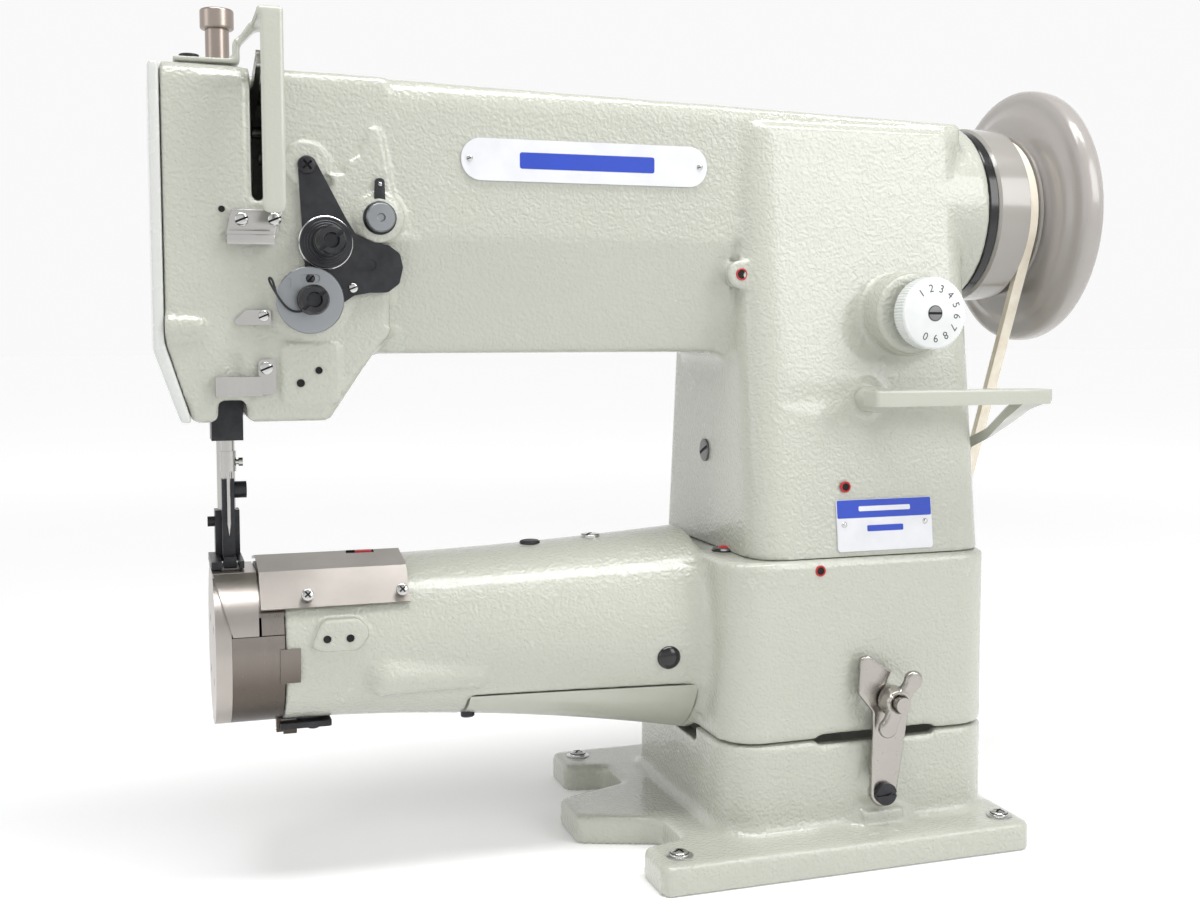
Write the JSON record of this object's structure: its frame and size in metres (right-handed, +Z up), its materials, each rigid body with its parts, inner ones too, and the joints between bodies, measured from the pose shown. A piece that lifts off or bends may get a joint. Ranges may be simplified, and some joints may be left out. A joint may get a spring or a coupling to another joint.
{
  "type": "leather sewing machine",
  "caption": "Cylinder-arm walking-foot sewing machine head on a tilting pedestal base, with handwheel, belt, rotary hook, tensions and stitch dial.",
  "frame": {"origin": "centre of the four base bolt holes, on the base's underside", "axes": "+X towards the handwheel, +Y to the back away from the operator, +Z up"},
  "size_m": [0.4992, 0.243, 0.432],
  "materials": {
    "body_enamel": "gloss pebbled enamel",
    "wheel_enamel": "satin grey enamel",
    "nickel": "satin nickel plate",
    "bright_steel": "ground steel",
    "brushed_cover_steel": "brushed warm steel",
    "black_oxide": "black oxide",
    "cast_inner": "machined cast iron",
    "bronze": "sintered bronze",
    "belt_fabric": "cream covered belt",
    "timing_rubber": "black toothed belt",
    "dial_plastic": "white dial",
    "plate_white": "white printed plate",
    "red_plastic": "red button"
  },
  "bodies": {
    "base": {"base_casting": "body_enamel", "hinge_brackets": "cast_inner", "hinge_pins": "bright_steel", "latch_screw": "black_oxide"},
    "head": {"bed_casting": "body_enamel", "arm_bottom_cover": "body_enamel", "arm_casting": "body_enamel", "face_plate": "body_enamel", "rear_cover": "body_enamel", "latch_stud": "nickel", "main_shaft_bushes": "bronze", "drive_belt": "belt_fabric", "timing_belt": "timing_rubber", "lower_shaft_bushes": "bronze", "hook_bracket": "cast_inner", "bobbin_case": "bright_steel", "bobbin": "bright_steel", "head_pins": "bright_steel", "presser_spring": "black_oxide", "adjuster_nut": "black_oxide", "take_up_guard": "body_enamel", "needle_plate": "brushed_cover_steel", "end_cap": "brushed_cover_steel", "rear_sleeve": "brushed_cover_steel", "door_hinge_bracket": "black_oxide", "hook_cover": "brushed_cover_steel", "tension_bracket": "black_oxide", "tension_discs": "bright_steel", "thread_guides": "bright_steel", "name_plates": "plate_white"},
    "latch": {"latch_link": "nickel"},
    "wing_nut": {"wing_nut": "nickel"},
    "main_shaft": {"main_shaft": "bright_steel", "crank_disc": "bright_steel", "pulley_hub": "wheel_enamel", "handwheel": "wheel_enamel", "upper_sprocket": "cast_inner"},
    "lower_shaft": {"lower_shaft": "bright_steel", "lower_sprocket": "cast_inner"},
    "hook": {"hook": "bright_steel"},
    "needle_frame": {"needle_bar_frame": "black_oxide"},
    "needle_bar": {"needle_bar": "bright_steel", "needle_clamp": "bright_steel", "needle": "bright_steel"},
    "inner_foot": {"inner_foot_bar": "bright_steel", "inner_foot": "black_oxide"},
    "presser": {"presser_bar": "bright_steel", "presser_foot": "black_oxide"},
    "adjuster": {"presser_adjuster": "nickel"},
    "lifter": {"foot_lifter": "bright_steel"},
    "take_up": {"take_up_lever": "bright_steel"},
    "feed": {"feed_dog": "bright_steel", "feed_bar": "bright_steel"},
    "hook_door": {"hook_door": "brushed_cover_steel"},
    "button": {"clutch_button": "red_plastic"},
    "dial": {"stitch_dial": "dial_plastic"},
    "reverse": {"reverse_lever": "body_enamel"},
    "upper_nut": {"upper_tension_nut": "black_oxide"},
    "lower_nut": {"lower_tension_nut": "black_oxide"},
    "check_spring": {"check_spring": "bright_steel"}
  },
  "joints": [
    {"name": "head_tilt", "type": "hinge", "parent": "base", "child": "head", "pos_m": [0, 0.087, 0.0826], "axis": [-1, 0, 0], "range_deg": [0, 45]},
    {"name": "latch_swing", "type": "hinge", "parent": "base", "child": "latch", "pos_m": [0.0242, -0.0828, 0.033], "axis": [0, -1, 0], "range_deg": [0, 60]},
    {"name": "wing_nut_turn", "type": "hinge", "parent": "head", "child": "wing_nut", "pos_m": [0.0265, -0.0925, 0.0826], "axis": [0, -1, 0], "range_deg": [0, 720]},
    {"name": "main_shaft_spin", "type": "hinge", "parent": "head", "child": "main_shaft", "pos_m": [0, 0, 0.3391], "axis": [1, 0, 0], "continuous": true},
    {"name": "lower_shaft_spin", "type": "hinge", "parent": "head", "child": "lower_shaft", "pos_m": [0, 0, 0.104], "axis": [1, 0, 0], "continuous": true},
    {"name": "hook_spin", "type": "hinge", "parent": "head", "child": "hook", "pos_m": [-0.2775, 0, 0.12], "axis": [0, 0, 1], "continuous": true},
    {"name": "needle_rock", "type": "hinge", "parent": "head", "child": "needle_frame", "pos_m": [-0.296, 0.009, 0.374], "axis": [1, 0, 0], "range_deg": [-0.77, 0.77]},
    {"name": "feed_slide", "type": "slide", "parent": "head", "child": "feed", "axis": [0, 1, 0], "range_m": [-0.003, 0.003]},
    {"name": "needle_bar_slide", "type": "slide", "parent": "needle_frame", "child": "needle_bar", "axis": [0, 0, 1], "range_m": [-0.036, 0]},
    {"name": "take_up_swing", "type": "hinge", "parent": "head", "child": "take_up", "pos_m": [-0.2824, 0.02, 0.372], "axis": [1, 0, 0], "range_deg": [0, 42]},
    {"name": "inner_foot_slide", "type": "slide", "parent": "needle_frame", "child": "inner_foot", "axis": [0, 0, 1], "range_m": [0, 0.0045], "stiffness_N_per_m": 500, "springref_m": -0.01},
    {"name": "presser_slide", "type": "slide", "parent": "head", "child": "presser", "axis": [0, 0, 1], "range_m": [0, 0.009], "stiffness_N_per_m": 1500, "springref_m": -0.008, "deforming": ["presser_spring"]},
    {"name": "lifter_swing", "type": "hinge", "parent": "head", "child": "lifter", "pos_m": [-0.275, 0.045, 0.3], "axis": [0, -1, 0], "range_deg": [0, 55]},
    {"name": "adjuster_turn", "type": "hinge", "parent": "head", "child": "adjuster", "pos_m": [-0.2962, 0.022, 0.41], "axis": [0, 0, 1], "range_deg": [-360, 360]},
    {"name": "hook_door_swing", "type": "hinge", "parent": "head", "child": "hook_door", "pos_m": [-0.27, -0.006, 0.0736], "axis": [1, 0, 0], "range_deg": [0, 100]},
    {"name": "button_press", "type": "slide", "parent": "head", "child": "button", "axis": [0, 0, -1], "range_m": [0, 0.0025], "stiffness_N_per_m": 300},
    {"name": "dial_turn", "type": "hinge", "parent": "head", "child": "dial", "pos_m": [0.046, -0.08, 0.2815], "axis": [0, 1, 0], "range_deg": [0, 290]},
    {"name": "reverse_swing", "type": "hinge", "parent": "head", "child": "reverse", "pos_m": [0.0225, -0.08, 0.237], "axis": [0, 1, 0], "range_deg": [0, 12], "stiffness_Nm_per_rad": 1, "springref_deg": -8.59},
    {"name": "upper_nut_turn", "type": "hinge", "parent": "head", "child": "upper_nut", "pos_m": [-0.2525, -0.06, 0.314], "axis": [0, 1, 0], "range_deg": [0, 720]},
    {"name": "lower_nut_turn", "type": "hinge", "parent": "head", "child": "lower_nut", "pos_m": [-0.2605, -0.06, 0.287], "axis": [0, 1, 0], "range_deg": [0, 720]},
    {"name": "check_spring_swing", "type": "hinge", "parent": "head", "child": "check_spring", "pos_m": [-0.2605, -0.0563, 0.287], "axis": [0, -1, 0], "range_deg": [0, 20], "stiffness_Nm_per_rad": 0.01, "springref_deg": -17.19}
  ],
  "couplings": [
    {"joint": "latch_swing", "follows": "head_tilt", "ratio": 1.333},
    {"joint": "lower_shaft_spin", "follows": "main_shaft_spin", "ratio": 1},
    {"joint": "hook_spin", "follows": "main_shaft_spin", "ratio": -2},
    {"joint": "feed_slide", "follows": "needle_rock", "m_per_rad": 0.2187},
    {"joint": "take_up_swing", "follows": "needle_bar_slide", "rad_per_m": -20.3},
    {"joint": "lifter_swing", "follows": "presser_slide", "rad_per_m": 106.6}
  ]
}
